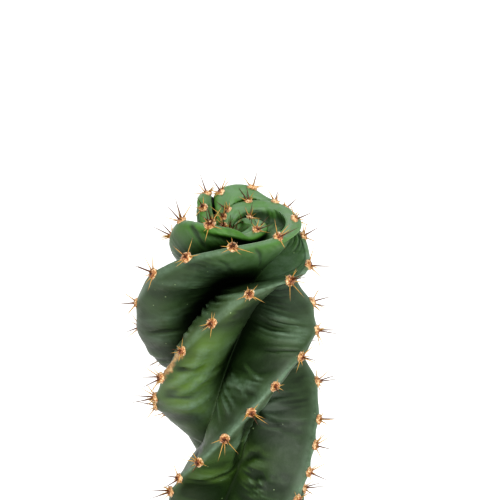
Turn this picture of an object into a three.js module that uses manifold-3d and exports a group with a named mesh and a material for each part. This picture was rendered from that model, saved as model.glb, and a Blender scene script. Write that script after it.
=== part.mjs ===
// A spiral Peruvian apple cactus in a plain clay pot.
// Millimetres, +Z up, with the origin on the ground under the middle of the pot.
// The stem has four ribs, A to D, which climb it as right-handed screws and roll up into the growing tip.
// A place along a rib is its turn: the compass angle of rib A, in degrees, which falls on the way down.
import * as THREE from "three";
import { mergeVertices } from "three/addons/utils/BufferGeometryUtils.js";
import Module from "manifold-3d";

const wasm = await Module();
wasm.setup();

// Pot
const POT_HEIGHT = 110;
const POT_SIDES = 48;
const RIM_RADIUS = 65;
const RIM_HEIGHT = 24;
const RIM_WALL = 7;
const BODY_TOP_RADIUS = 60.5;
const BASE_RADIUS = 44;
const POT_WALL = 6;
const POT_FLOOR = 8;
const DRAIN_RADIUS = 6;
const CLAY_EDGE = 1.4;

// Soil
const SOIL_TOP = 98;
const SOIL_CROWN = 2.5;
const SOIL_GAP = 0.3;
const SOIL_SIDES = 32;
const SOIL_RINGS = 6;
const SOIL_ROUGHNESS = 0.8;
const HOLE_RADIUS = 18.4;
const HOLE_FLOOR = 75;
const PEBBLE_COUNT = 30;
const PEBBLE_RADII = [1.2, 2.6];
const PEBBLE_SHAPE = [1.2, 0.9, 0.75];
const PEBBLE_STANDING = 0.1;
const STEM_CLEARANCE = 3.2;

// Stem: rib heights are measured from this level, near the lowest areole of the first full turn
const SHOULDER_HEIGHT = 315;
const TOP_TURN = 140;
const BOTTOM_TURN = -558;
const YOUNG_STEP = 10;
const OLD_STEP = 15;
const OLD_TURN = -124;
const PLACES_ACROSS_RIB = [-0.5, -0.37, -0.24, -0.11, 0, 0.12, 0.26, 0.39];
const CREST_ROUNDNESS = 0.1;
const VALLEY_ROUNDNESS = 0.15;

// How a flank falls away from its crest, as powers for going in and going down: first for the oldest
// growth, whose ribs are blades, then for the full growth, and last for the young crown
const LOWER_FLANK = {
  inward: [1, 1.75, 2.3], down: [1.2, 1.75, 1.5], leanFrom: -20, leanTo: 60, lean: 0.65,
};
const UPPER_FLANK = {
  inward: [0.7, 1.35, 1.6], down: [1.1, 1.35, 0.85], leanFrom: -210, leanTo: -120, lean: 0.85,
};
const BLADE_GROWTH = [-250, -195];
const YOUNG_GROWTH = [-160, -60];
const CROWN_VALLEYS_FROM = -180;
const CROWN_VALLEYS_TO = -90;

// Each rib's crest: turn, reach from the middle of the stem, height from the shoulder
const RIBS = [
  [
    [170, 1, 8], [120, 5, 12], [75, 12, 16.5], [41, 23.2, 15.5], [0, 26, 13.2], [-45, 26.8, 10.3],
    [-90, 30, 9], [-122, 34, 4.5], [-147, 38, -4.5], [-175, 40, -22], [-197, 41.5, -37.5],
    [-213, 41.6, -50], [-224, 40.5, -58], [-250, 38, -69], [-270, 36.5, -79], [-315, 34.5, -101],
    [-360, 32, -124],
  ],
  [
    [170, 1, 8], [90, 3, 9], [60, 4, 10], [30, 7, 12.3], [12, 15.5, 19.4], [-20, 23, 21.4],
    [-40, 26, 16.8], [-52, 29, 13.5], [-64, 30.5, 7], [-75, 31.5, 4], [-102, 32.6, -4.6],
    [-135, 33.5, -6.6], [-168, 34.5, -9.5], [-193, 34.5, -21.6], [-216, 34, -35.6], [-239, 33.6, -50.5],
    [-272, 32.5, -69.7], [-300, 32.5, -78.5], [-325, 31, -88.5], [-340, 31, -99], [-370, 31, -120],
  ],
  [
    [170, 1, 8], [90, 5, 9.5], [45, 7.5, 11], [0, 10, 13], [-24, 12, 15.2], [-54, 18, 20.7],
    [-90, 25, 9], [-135, 31.5, -10], [-150, 32.5, -19], [-166, 34.6, -25.5], [-189, 35.5, -33.5],
    [-217, 35.5, -40], [-240, 35.5, -49.5], [-275, 33.5, -71.5], [-296, 31, -84], [-320, 29, -95],
    [-360, 29, -119],
  ],
  [
    [170, 3, 10], [140, 6, 12], [110, 8, 13], [80, 12, 12], [48, 13.5, 11], [10, 14.7, 10],
    [-30, 18, 13.5], [-72, 22, 14.5], [-100, 25.5, 6], [-135, 29, -8], [-180, 34, -25],
    [-225, 35.5, -44], [-240, 36, -52.5], [-255, 37.3, -61], [-276, 37, -74], [-294, 35.5, -94],
    [-307, 34.5, -104], [-360, 32, -130],
  ],
];

// Below the spiral's last full turn all ribs run alike, and fade into the round neck in the soil
const BASE_OF_RIB = [
  [-450, 30, -172], [-488, 25.5, -196], [-514, 18.6, -211], [-530, 17.6, -219], [-548, 15, -232],
  [-560, 10, -238],
];

// The valley between two ribs: turn, its reach as a share of the lower rib's, its height in the crown
const VALLEYS = [
  [170, 0.5, 6], [120, 0.55, 6], [75, 0.6, 5], [45, 0.6, 4], [0, 0.6, 2], [-45, 0.52, -3],
  [-90, 0.4, -12], [-135, 0.26, -20], [-180, 0.28, -28], [-225, 0.32, -46], [-270, 0.34, -70],
  [-315, 0.36, -98], [-360, 0.38, -122], [-450, 0.46, -172], [-488, 0.62, -196], [-514, 0.96, -211],
  [-530, 1, -219], [-560, 1, -238],
];

// The turns of the areoles on each rib, from the growing tip down
const AREOLE_TURNS = [
  [96, 63, 41, 0, -45, -89, -122, -147, -175, -197, -222, -247, -272],
  [62, 30, 12, -21, -52, -75, -102, -135, -168, -193, -216, -239, -260, -272],
  [81, 20, -24, -54, -82, -110, -138, -166, -189, -217, -240, -257, -275, -296, -320, -335],
  [110, 48, -30, -72, -104, -134, -160, -184, -208, -232, -256, -276, -285, -294, -307],
];
const OLD_AREOLE_SPACING = 17;
const LAST_AREOLE_HEIGHT = -196;
const AREOLE_RADIUS = 2.5;
const AREOLE_SWELL = 2.1;
const TIP_GROWTH = 0.72;
const RADIAL_SPINES = 3;
const RADIAL_LENGTH = 6.5;
const RADIAL_LEAN = 66;
const CENTRAL_LENGTH = 8.5;
const CENTRAL_LEAN = 12;
const SPINE_RADIUS = 0.55;
const SPINE_ROOT = 1;
const LENGTH_SPREAD = 0.18;
const AROUND_SPREAD = 0.5;

const RAD = Math.PI / 180;
const { lerp: mix, clamp } = THREE.MathUtils;

function seededRandom(seed) {
  let state = seed;
  return () => {
    state = (state * 1664525 + 1013904223) % 4294967296;
    return state / 4294967296;
  };
}

// Rises smoothly from 0 at one turn to 1 at another
function rise(from, to, turn) {
  return THREE.MathUtils.smoothstep((turn - from) / (to - from), 0, 1);
}

// Reads a table of [turn, value, value], falling in turn, along one smooth curve
function along(table, turn) {
  const last = table.length - 1;
  if (turn >= table[0][0]) return table[0].slice(1);
  if (turn <= table[last][0]) return table[last].slice(1);
  let k = 0;
  while (turn < table[k + 1][0]) k += 1;
  const a = table[k];
  const b = table[k + 1];
  const before = table[Math.max(k - 1, 0)];
  const after = table[Math.min(k + 2, last)];
  const span = b[0] - a[0];
  const u = (turn - a[0]) / span;
  return [1, 2].map((n) => {
    const slopeA = (b[n] - before[n]) / (b[0] - before[0]);
    const slopeB = (after[n] - a[n]) / (after[0] - a[0]);
    const fromA = (1 + 2 * u) * (1 - u) ** 2 * a[n] + u * (1 - u) ** 2 * span * slopeA;
    const fromB = u * u * (3 - 2 * u) * b[n] + u * u * (u - 1) * span * slopeB;
    return fromA + fromB;
  });
}

// Bends the straight line from 0 to 1 so that it starts level
function rounded(x, roundness) {
  return (Math.hypot(x, roundness) - roundness) / (Math.hypot(1, roundness) - roundness);
}

// A flank's power on one growth, out of its three
function powerAt(turn, [blade, full, young]) {
  const old = mix(blade, full, rise(...BLADE_GROWTH, turn));
  return mix(old, young, rise(...YOUNG_GROWTH, turn));
}

const crests = RIBS.map((rib) => [...rib, ...BASE_OF_RIB]);

// A point of the skin. The phase counts ribs: 0 is on rib A's crest, 0.5 in the valley beyond it.
// A rib's lower flank is full, and in the crown its upper flank leans in like a petal's.
function skin(turn, phase) {
  const rib = Math.round(phase);
  const across = phase - rib;
  const onLowerFlank = across >= 0;
  const flank = onLowerFlank ? LOWER_FLANK : UPPER_FLANK;
  const lean = flank.lean * rise(flank.leanFrom, flank.leanTo, turn);
  const crest = crests[(rib + 4) % 4];
  const neighbour = crests[(rib + (onLowerFlank ? 5 : 3)) % 4];
  const [reach, height] = along(crest, turn + 90 * across * lean);
  const [crestReach, crestHeight] = along(crest, turn);
  const [nextReach, nextHeight] = along(neighbour, turn);
  const [share, crownHeight] = along(VALLEYS, turn);
  const inCrown = (turn - CROWN_VALLEYS_FROM) / (CROWN_VALLEYS_TO - CROWN_VALLEYS_FROM);
  const valleyReach = share * Math.min(crestReach, nextReach);
  const valleyHeight = mix((crestHeight + nextHeight) / 2, crownHeight, clamp(inCrown, 0, 1));
  const x = rounded(2 * across, CREST_ROUNDNESS);
  const inward = 1 - rounded(1 - x ** powerAt(turn, flank.inward), VALLEY_ROUNDNESS);
  const radius = mix(reach, valleyReach, inward);
  const angle = (turn + 90 * phase) * RAD;
  const z = SHOULDER_HEIGHT + mix(height, valleyHeight, x ** powerAt(turn, flank.down));
  return new THREE.Vector3(radius * Math.cos(angle), radius * Math.sin(angle), z);
}

// A closed body through a stack of rings, each with the same number of points, capped at both ends
function bodyThroughRings(rings) {
  const count = rings[0].length;
  const points = rings.flat();
  const index = [];
  for (let k = 0; k + 1 < rings.length; k += 1) {
    for (let i = 0; i < count; i += 1) {
      const j = (i + 1) % count;
      const a = k * count + i;
      const b = k * count + j;
      index.push(a, b, b + count, a, b + count, a + count);
    }
  }
  for (const k of [0, rings.length - 1]) {
    const middle = rings[k].reduce((sum, p) => sum.add(p), new THREE.Vector3()).divideScalar(count);
    points.push(middle);
    for (let i = 0; i < count; i += 1) {
      const a = k * count + i;
      const b = k * count + ((i + 1) % count);
      index.push(points.length - 1, ...(k === 0 ? [b, a] : [a, b]));
    }
  }
  const geometry = new THREE.BufferGeometry().setFromPoints(points);
  geometry.setIndex(index);
  return geometry;
}

function toSolid(geometry) {
  const bare = geometry.clone();
  bare.deleteAttribute("normal");
  bare.deleteAttribute("uv");
  const merged = mergeVertices(bare, 1e-4);
  const vertProperties = new Float32Array(merged.attributes.position.array);
  const triVerts = new Uint32Array(merged.index.array);
  const solid = new wasm.Manifold(new wasm.Mesh({ numProp: 3, vertProperties, triVerts }));
  if (solid.volume() > 0) return solid;
  for (let i = 0; i < triVerts.length; i += 3) {
    [triVerts[i], triVerts[i + 1]] = [triVerts[i + 1], triVerts[i]];
  }
  return new wasm.Manifold(new wasm.Mesh({ numProp: 3, vertProperties, triVerts }));
}

function toGeometry(solid) {
  const mesh = solid.getMesh();
  const geometry = new THREE.BufferGeometry();
  geometry.setAttribute("position", new THREE.BufferAttribute(mesh.vertProperties, 3));
  geometry.setIndex(new THREE.BufferAttribute(mesh.triVerts, 1));
  return geometry;
}

function makeMesh(name, geometry, color, roughness) {
  const material = new THREE.MeshStandardMaterial({ color, roughness, metalness: 0 });
  const mesh = new THREE.Mesh(geometry, material);
  mesh.name = name;
  return mesh;
}

// Radius of the pot's inner wall at a height, which tapers to the floor as its outside does
function potInnerRadius(height) {
  const rimBottom = POT_HEIGHT - RIM_HEIGHT;
  const share = clamp(height / rimBottom, 0, 1);
  const outer = mix(BASE_RADIUS, BODY_TOP_RADIUS, share);
  const aboveBody = clamp((height - rimBottom) / RIM_HEIGHT, 0, 1);
  return mix(outer - POT_WALL, RIM_RADIUS - RIM_WALL, aboveBody);
}

function makePot() {
  const rimBottom = POT_HEIGHT - RIM_HEIGHT;
  const profile = [
    [DRAIN_RADIUS, 0],
    [BASE_RADIUS - CLAY_EDGE, 0],
    [BASE_RADIUS, CLAY_EDGE],
    [BODY_TOP_RADIUS, rimBottom],
    [RIM_RADIUS - CLAY_EDGE, rimBottom],
    [RIM_RADIUS, rimBottom + CLAY_EDGE],
    [RIM_RADIUS, POT_HEIGHT - CLAY_EDGE],
    [RIM_RADIUS - CLAY_EDGE, POT_HEIGHT],
    [RIM_RADIUS - RIM_WALL + CLAY_EDGE, POT_HEIGHT],
    [RIM_RADIUS - RIM_WALL, POT_HEIGHT - CLAY_EDGE],
    [potInnerRadius(rimBottom), rimBottom],
    [potInnerRadius(POT_FLOOR), POT_FLOOR],
    [DRAIN_RADIUS, POT_FLOOR],
    [DRAIN_RADIUS, 0],
  ];
  const outline = profile.map(([radius, height]) => new THREE.Vector2(radius, height));
  const lathe = new THREE.LatheGeometry(outline, POT_SIDES);
  lathe.rotateX(Math.PI / 2);
  return makeMesh("pot", toGeometry(toSolid(lathe)), 0xb5663f, 0.85);
}

function soilRing(radius, height, roughness, random) {
  const ring = [];
  for (let i = 0; i < SOIL_SIDES; i += 1) {
    const angle = (2 * Math.PI * i) / SOIL_SIDES;
    const z = height + roughness * (2 * random() - 1);
    ring.push(new THREE.Vector3(radius * Math.cos(angle), radius * Math.sin(angle), z));
  }
  return ring;
}

// The soil fills the pot from wall to wall and rises a little towards the stem, which stands in its hole
function makeSoil() {
  const random = seededRandom(11);
  const edge = potInnerRadius(SOIL_TOP) - SOIL_GAP;
  const kneeHeight = POT_HEIGHT - RIM_HEIGHT;
  const rings = [
    soilRing(potInnerRadius(POT_FLOOR) - SOIL_GAP, POT_FLOOR + SOIL_GAP, 0, random),
    soilRing(potInnerRadius(kneeHeight) - SOIL_GAP, kneeHeight, 0, random),
    soilRing(edge, SOIL_TOP, 0, random),
  ];
  const topAt = (radius) => SOIL_TOP + SOIL_CROWN * (1 - (radius / edge) ** 2);
  for (let k = 1; k < SOIL_RINGS; k += 1) {
    const radius = mix(edge, HOLE_RADIUS, k / SOIL_RINGS);
    rings.push(soilRing(radius, topAt(radius), SOIL_ROUGHNESS, random));
  }
  rings.push(soilRing(HOLE_RADIUS, topAt(HOLE_RADIUS), 0, random));
  rings.push(soilRing(HOLE_RADIUS, HOLE_FLOOR, 0, random));
  const pebbles = [];
  for (let n = 0; n < PEBBLE_COUNT; n += 1) {
    const size = mix(...PEBBLE_RADII, random() ** 2);
    const nearest = HOLE_RADIUS + STEM_CLEARANCE;
    const furthest = edge - size - 1;
    const radius = Math.sqrt(mix(nearest ** 2, furthest ** 2, random()));
    const angle = 2 * Math.PI * random();
    const pebble = new THREE.IcosahedronGeometry(size, 0);
    pebble.scale(...PEBBLE_SHAPE);
    pebble.rotateZ(2 * Math.PI * random());
    const height = topAt(radius) + PEBBLE_STANDING * size;
    pebble.translate(radius * Math.cos(angle), radius * Math.sin(angle), height);
    pebbles.push(toSolid(pebble));
  }
  const soil = wasm.Manifold.union([toSolid(bodyThroughRings(rings)), ...pebbles]);
  return makeMesh("soil", toGeometry(soil), 0x3b2a20, 0.95);
}

function stemBody() {
  const rings = [];
  let turn = TOP_TURN;
  while (turn > BOTTOM_TURN) {
    const ring = [];
    for (let rib = 0; rib < 4; rib += 1) {
      for (const across of PLACES_ACROSS_RIB) ring.push(skin(turn, rib + across));
    }
    rings.push(ring);
    turn -= turn > OLD_TURN ? YOUNG_STEP : OLD_STEP;
  }
  return toSolid(bodyThroughRings(rings));
}

// Turns of a rib's areoles: those of the young growth, then evenly spaced ones down to the neck
function areoleTurns(rib) {
  const turns = [...AREOLE_TURNS[rib]];
  let last = skin(turns.at(-1), rib);
  for (let turn = turns.at(-1); turn > BOTTOM_TURN; turn -= 1) {
    const here = skin(turn, rib);
    if (here.z - SHOULDER_HEIGHT < LAST_AREOLE_HEIGHT) break;
    if (here.distanceTo(last) < OLD_AREOLE_SPACING) continue;
    turns.push(turn);
    last = here;
  }
  return turns;
}

// Axes at an areole: up the rib's edge, and out of the rib, away from the valleys on its two sides
function areoleAxes(turn, rib) {
  const place = skin(turn, rib);
  const above = skin(turn + 45, rib - 0.499);
  const below = skin(turn - 45, rib + 0.499);
  const out = place.clone().sub(above.add(below).multiplyScalar(0.5)).normalize();
  const edge = skin(turn + 3, rib).sub(skin(turn - 3, rib)).normalize();
  const side = new THREE.Vector3().crossVectors(out, edge).normalize();
  const up = new THREE.Vector3().crossVectors(side, out);
  return { place, up, side, out };
}

function spine(axes, lean, around, length) {
  const direction = axes.out.clone().multiplyScalar(Math.cos(lean));
  direction.addScaledVector(axes.up, Math.sin(lean) * Math.cos(around));
  direction.addScaledVector(axes.side, Math.sin(lean) * Math.sin(around));
  const cone = new THREE.ConeGeometry(SPINE_RADIUS, length + SPINE_ROOT, 3);
  cone.translate(0, (length + SPINE_ROOT) / 2 - SPINE_ROOT, 0);
  cone.applyQuaternion(new THREE.Quaternion().setFromUnitVectors(new THREE.Vector3(0, 1, 0), direction));
  cone.translate(...axes.place);
  return toSolid(cone);
}

function areole(axes, growth, random) {
  const cushion = new THREE.SphereGeometry(1, 6, 2);
  cushion.rotateX(Math.PI / 2);
  const width = AREOLE_RADIUS * growth;
  cushion.scale(width, width, AREOLE_SWELL * growth);
  cushion.applyMatrix4(new THREE.Matrix4().makeBasis(axes.up, axes.side, axes.out));
  cushion.translate(...axes.place);
  const solids = [toSolid(cushion)];
  const start = 2 * Math.PI * random();
  for (let n = 0; n < RADIAL_SPINES; n += 1) {
    const around = start + (2 * Math.PI * n) / RADIAL_SPINES + AROUND_SPREAD * (random() - 0.5);
    const length = RADIAL_LENGTH * growth * (1 + LENGTH_SPREAD * (2 * random() - 1));
    solids.push(spine(axes, RADIAL_LEAN * RAD, around, length));
  }
  const length = CENTRAL_LENGTH * (1 + LENGTH_SPREAD * (2 * random() - 1));
  solids.push(spine(axes, 2 * random() * CENTRAL_LEAN * RAD, 2 * Math.PI * random(), length));
  return solids;
}

function makeStem() {
  const random = seededRandom(5);
  const solids = [stemBody()];
  for (let rib = 0; rib < 4; rib += 1) {
    for (const turn of areoleTurns(rib)) {
      const growth = mix(1, TIP_GROWTH, rise(0, 90, turn));
      solids.push(...areole(areoleAxes(turn, rib), growth, random));
    }
  }
  return makeMesh("stem", toGeometry(wasm.Manifold.union(solids)), 0x3f6b3a, 0.45);
}

const cactus = new THREE.Group();
cactus.add(makePot(), makeSoil(), makeStem());

export default cactus;
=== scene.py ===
import math
import random
from functools import lru_cache

import bmesh
import bpy
from bpy.props import FloatProperty, FloatVectorProperty, IntProperty, PointerProperty
from mathutils import Matrix, Vector, noise
from mathutils.bvhtree import BVHTree


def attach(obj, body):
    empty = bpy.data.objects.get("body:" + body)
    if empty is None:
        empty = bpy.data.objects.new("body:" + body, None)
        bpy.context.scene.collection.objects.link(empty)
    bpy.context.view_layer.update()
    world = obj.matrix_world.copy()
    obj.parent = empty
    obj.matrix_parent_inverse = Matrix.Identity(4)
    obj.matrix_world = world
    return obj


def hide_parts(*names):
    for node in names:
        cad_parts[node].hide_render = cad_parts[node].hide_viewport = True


bl_info = {
    "name": "Potted spiral cactus",
    "version": (1, 0, 0),
    "blender": (4, 5, 0),
    "location": "3D View > Sidebar > Cactus",
    "description": "A spiral Peruvian apple cactus with felted areoles and spines, in a clay pot",
    "category": "Add Mesh",
}

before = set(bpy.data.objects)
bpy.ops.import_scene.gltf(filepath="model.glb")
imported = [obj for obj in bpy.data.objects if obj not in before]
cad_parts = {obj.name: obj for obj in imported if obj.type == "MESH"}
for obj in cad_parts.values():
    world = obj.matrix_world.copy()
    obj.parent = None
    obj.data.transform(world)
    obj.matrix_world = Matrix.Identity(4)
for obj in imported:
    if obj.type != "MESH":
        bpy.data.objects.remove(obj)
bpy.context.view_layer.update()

MM = 0.001

# The stem's growth, in millimetres and degrees. A place along a rib is its turn: the compass angle
# of rib A, which falls on the way down. Heights are measured from the shoulder.
SHOULDER_HEIGHT = 315
CREST_ROUNDNESS = 0.1
VALLEY_ROUNDNESS = 0.15
# How a flank falls away from its crest: powers for the blade-like oldest, the grown and the young growth
LOWER_FLANK = {
    "inward": (1, 1.75, 2.3), "down": (1.2, 1.75, 1.5), "lean": 0.65, "lean_turns": (-20, 60),
}
UPPER_FLANK = {
    "inward": (0.7, 1.35, 1.6), "down": (1.1, 1.35, 0.85), "lean": 0.85, "lean_turns": (-210, -120),
}
BLADE_GROWTH = (-195, -250)
YOUNG_GROWTH = (-160, -60)
CROWN_VALLEYS = (-180, -90)

# Each rib's crest: turn, reach from the middle of the stem, height
RIB_A = (
    (170, 1, 8), (120, 5, 12), (75, 12, 16.5), (41, 23.2, 15.5), (0, 26, 13.2), (-45, 26.8, 10.3),
    (-90, 30, 9), (-122, 34, 4.5), (-147, 38, -4.5), (-175, 40, -22), (-197, 41.5, -37.5),
    (-213, 41.6, -50), (-224, 40.5, -58), (-250, 38, -69), (-270, 36.5, -79), (-315, 34.5, -101),
    (-360, 32, -124),
)
RIB_B = (
    (170, 1, 8), (90, 3, 9), (60, 4, 10), (30, 7, 12.3), (12, 15.5, 19.4), (-20, 23, 21.4),
    (-40, 26, 16.8), (-52, 29, 13.5), (-64, 30.5, 7), (-75, 31.5, 4), (-102, 32.6, -4.6),
    (-135, 33.5, -6.6), (-168, 34.5, -9.5), (-193, 34.5, -21.6), (-216, 34, -35.6), (-239, 33.6, -50.5),
    (-272, 32.5, -69.7), (-300, 32.5, -78.5), (-325, 31, -88.5), (-340, 31, -99), (-370, 31, -120),
)
RIB_C = (
    (170, 1, 8), (90, 5, 9.5), (45, 7.5, 11), (0, 10, 13), (-24, 12, 15.2), (-54, 18, 20.7),
    (-90, 25, 9), (-135, 31.5, -10), (-150, 32.5, -19), (-166, 34.6, -25.5), (-189, 35.5, -33.5),
    (-217, 35.5, -40), (-240, 35.5, -49.5), (-275, 33.5, -71.5), (-296, 31, -84), (-320, 29, -95),
    (-360, 29, -119),
)
RIB_D = (
    (170, 3, 10), (140, 6, 12), (110, 8, 13), (80, 12, 12), (48, 13.5, 11), (10, 14.7, 10),
    (-30, 18, 13.5), (-72, 22, 14.5), (-100, 25.5, 6), (-135, 29, -8), (-180, 34, -25),
    (-225, 35.5, -44), (-240, 36, -52.5), (-255, 37.3, -61), (-276, 37, -74), (-294, 35.5, -94),
    (-307, 34.5, -104), (-360, 32, -130),
)
# Below the last full turn the ribs run alike, and fade into the round neck in the soil
BASE_OF_RIB = (
    (-450, 30, -172), (-488, 25.5, -196), (-514, 18.6, -211), (-530, 17.6, -219), (-548, 15, -232),
    (-560, 10, -238),
)
CRESTS = tuple(rib + BASE_OF_RIB for rib in (RIB_A, RIB_B, RIB_C, RIB_D))
# The valley between two ribs: turn, its reach as a share of the lower rib's, its height in the crown
VALLEYS = (
    (170, 0.5, 6), (120, 0.55, 6), (75, 0.6, 5), (45, 0.6, 4), (0, 0.6, 2), (-45, 0.52, -3),
    (-90, 0.4, -12), (-135, 0.26, -20), (-180, 0.28, -28), (-225, 0.32, -46), (-270, 0.34, -70),
    (-315, 0.36, -98), (-360, 0.38, -122), (-450, 0.46, -172), (-488, 0.62, -196), (-514, 0.96, -211),
    (-530, 1, -219), (-560, 1, -238),
)
# The turns of the areoles on each rib, from the growing tip down
AREOLE_TURNS = (
    (96, 63, 41, 0, -45, -89, -122, -147, -175, -197, -222, -247, -272),
    (62, 30, 12, -21, -52, -75, -102, -135, -168, -193, -216, -239, -260, -272),
    (81, 20, -24, -54, -82, -110, -138, -166, -189, -217, -240, -257, -275, -296, -320, -335),
    (110, 48, -30, -72, -104, -134, -160, -184, -208, -232, -256, -276, -285, -294, -307),
)
OLD_AREOLE_SPACING = 17
LAST_AREOLE_HEIGHT = -196

# The skin's mesh: its rings, the turns that they have reached at shares of the way down, and the places
# around it, which crowd near the crests
RINGS = 470
RING_TURNS = ((0, 160), (0.45, -110), (0.95, -516), (1, -558))
PLACES_AROUND = 184
CREST_CROWDING = 1.25
# The crests run from the first turn to the last, and the middle of a valley is just short of half a phase off
FIRST_TURN = 170
LAST_TURN = -561
NEAR_VALLEY = 0.499


def mix(a, b, share):
    return a + (b - a) * share


def clamp(value):
    return min(max(value, 0), 1)


def rise(start, end, value):
    """Rises smoothly from 0 at start to 1 at end."""
    share = clamp((value - start) / (end - start))
    return share * share * (3 - 2 * share)


def on_line(table, value):
    """Reads a table of (place, value), rising in place, along straight lines."""
    for (a, from_value), (b, to_value) in zip(table, table[1:]):
        if value <= b:
            return mix(from_value, to_value, clamp((value - a) / (b - a)))
    return table[-1][1]


def on_curve(table, turn):
    """Reads a table of (turn, value, value), falling in turn, along one smooth curve."""
    last = len(table) - 1
    if turn >= table[0][0]:
        return table[0][1:]
    if turn <= table[last][0]:
        return table[last][1:]
    k = next(k for k in range(last) if turn >= table[k + 1][0])
    a, b = table[k], table[k + 1]
    before, after = table[max(k - 1, 0)], table[min(k + 2, last)]
    span = b[0] - a[0]
    u = (turn - a[0]) / span
    values = []
    for n in (1, 2):
        slope_a = (b[n] - before[n]) / (b[0] - before[0])
        slope_b = (after[n] - a[n]) / (after[0] - a[0])
        from_a = (1 + 2 * u) * (1 - u) ** 2 * a[n] + u * (1 - u) ** 2 * span * slope_a
        from_b = u * u * (3 - 2 * u) * b[n] + u * u * (u - 1) * span * slope_b
        values.append(from_a + from_b)
    return values


@lru_cache(maxsize=None)
def crest_at(rib, turn):
    return on_curve(CRESTS[rib % 4], turn)


@lru_cache(maxsize=None)
def valley_at(turn):
    return on_curve(VALLEYS, turn)


@lru_cache(maxsize=None)
def power_at(turn, blade, full, young):
    old = mix(full, blade, rise(*BLADE_GROWTH, turn))
    return mix(old, young, rise(*YOUNG_GROWTH, turn))


def rounded(x, roundness):
    """Bends the straight line from 0 to 1 so that it starts level."""
    return (math.hypot(x, roundness) - roundness) / (math.hypot(1, roundness) - roundness)


def skin(turn, phase):
    """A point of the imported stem's skin. The phase counts ribs: 0 is rib A's crest, 0.5 the valley beyond."""
    rib = round(phase)
    across = phase - rib
    flank = LOWER_FLANK if across >= 0 else UPPER_FLANK
    lean = flank["lean"] * rise(*flank["lean_turns"], turn)
    reach, height = on_curve(CRESTS[rib % 4], turn + 90 * across * lean) if lean else crest_at(rib % 4, turn)
    crest_reach, crest_height = crest_at(rib % 4, turn)
    next_reach, next_height = crest_at((rib + (1 if across >= 0 else -1)) % 4, turn)
    share, crown_height = valley_at(turn)
    in_crown = clamp((turn - CROWN_VALLEYS[0]) / (CROWN_VALLEYS[1] - CROWN_VALLEYS[0]))
    valley_reach = share * min(crest_reach, next_reach)
    valley_height = mix((crest_height + next_height) / 2, crown_height, in_crown)
    x = rounded(2 * across, CREST_ROUNDNESS)
    inward = 1 - rounded(1 - x ** power_at(turn, *flank["inward"]), VALLEY_ROUNDNESS)
    radius = mix(reach, valley_reach, inward)
    z = SHOULDER_HEIGHT + mix(height, valley_height, x ** power_at(turn, *flank["down"]))
    angle = math.radians(turn + 90 * phase)
    return Vector((radius * math.cos(angle), radius * math.sin(angle), z))


def areole_turns(rib):
    """The turns of a rib's areoles, with the old ones at even distances down to the last."""
    turns = list(AREOLE_TURNS[rib])
    turn = turns[-1]
    before = skin(turn, rib)
    walked = 0
    while True:
        turn -= 1
        here = skin(turn, rib)
        walked += (here - before).length
        before = here
        if here.z - SHOULDER_HEIGHT < LAST_AREOLE_HEIGHT:
            return turns
        if walked >= OLD_AREOLE_SPACING:
            turns.append(turn)
            walked = 0


def areole_axes(turn, rib):
    """Where an areole sits, the way it faces, and the way its rib runs."""
    crest = skin(turn, rib)
    valleys = (skin(turn, rib - NEAR_VALLEY) + skin(turn, rib + NEAR_VALLEY)) / 2
    along = (skin(turn - 3, rib) - skin(turn + 3, rib)).normalized()
    out = crest - valleys
    out = (out - along * out.dot(along)).normalized()
    return crest, out, along


def linear(hex_code):
    """An sRGB hex colour, such as "#3b5a3a", as linear red, green and blue."""
    parts = [int(hex_code[k:k + 2], 16) / 255 for k in (1, 3, 5)]
    return tuple(c / 12.92 if c <= 0.04045 else ((c + 0.055) / 1.055) ** 2.4 for c in parts)


def opaque(colour):
    return (*colour, 1)


def paint(hex_code):
    return opaque(linear(hex_code))


def feed(tree, node, inputs):
    """Sets a node's inputs. Each is a number, a colour or another node's output."""
    for name, value in inputs.items():
        if isinstance(value, bpy.types.NodeSocket):
            tree.links.new(value, node.inputs[name])
        else:
            node.inputs[name].default_value = value


def add(tree, kind, inputs=None, **settings):
    """Adds a node with its own settings and inputs."""
    node = tree.nodes.new(kind)
    for name, value in settings.items():
        setattr(node, name, value)
    feed(tree, node, inputs or {})
    return node


def object_place(tree):
    return add(tree, "ShaderNodeTexCoord").outputs["Object"]


def attribute(tree, name):
    return add(tree, "ShaderNodeAttribute", attribute_name=name).outputs["Fac"]


def clouds_of(tree, place, size, detail, roughness):
    """Soft random clouds of one size, in millimetres."""
    return add(tree, "ShaderNodeTexNoise", {
        "Vector": place, "Scale": 1 / (size * MM), "Detail": detail, "Roughness": roughness,
    }).outputs["Fac"]


def remap(tree, value, start, end, low=0, high=1):
    """Carries the span from start to end over to that from low to high, and holds what lies beyond."""
    return add(tree, "ShaderNodeMapRange", {
        "Value": value, "From Min": start, "From Max": end, "To Min": low, "To Max": high,
    }).outputs["Result"]


def ramp(tree, value, *stops):
    """Turns a value into a colour, along stops of (place, colour)."""
    node = add(tree, "ShaderNodeValToRGB", {"Fac": value})
    elements = node.color_ramp.elements
    while len(elements) < len(stops):
        elements.new(0.5)
    for element, (position, colour) in zip(elements, stops):
        element.position = position
        element.color = colour
    return node.outputs["Color"]


def calculate(tree, operation, a, b, **settings):
    return add(tree, "ShaderNodeMath", {0: a, 1: b}, operation=operation, **settings).outputs["Value"]


def blend(tree, share, under, over):
    """Lays a share of one colour over another."""
    return add(tree, "ShaderNodeMixRGB", {"Fac": share, "Color1": under, "Color2": over}).outputs["Color"]


def dress(tree, shader, colour, relief, values):
    """Gives a shader its colour, its relief (height, strength, depth in millimetres) and its other values."""
    tree.links.new(colour, shader.inputs["Base Color"])
    if relief:
        height, strength, depth = relief
        bump = add(tree, "ShaderNodeBump", {"Height": height, "Strength": strength, "Distance": depth * MM})
        tree.links.new(bump.outputs["Normal"], shader.inputs["Normal"])
    feed(tree, shader, values)


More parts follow.
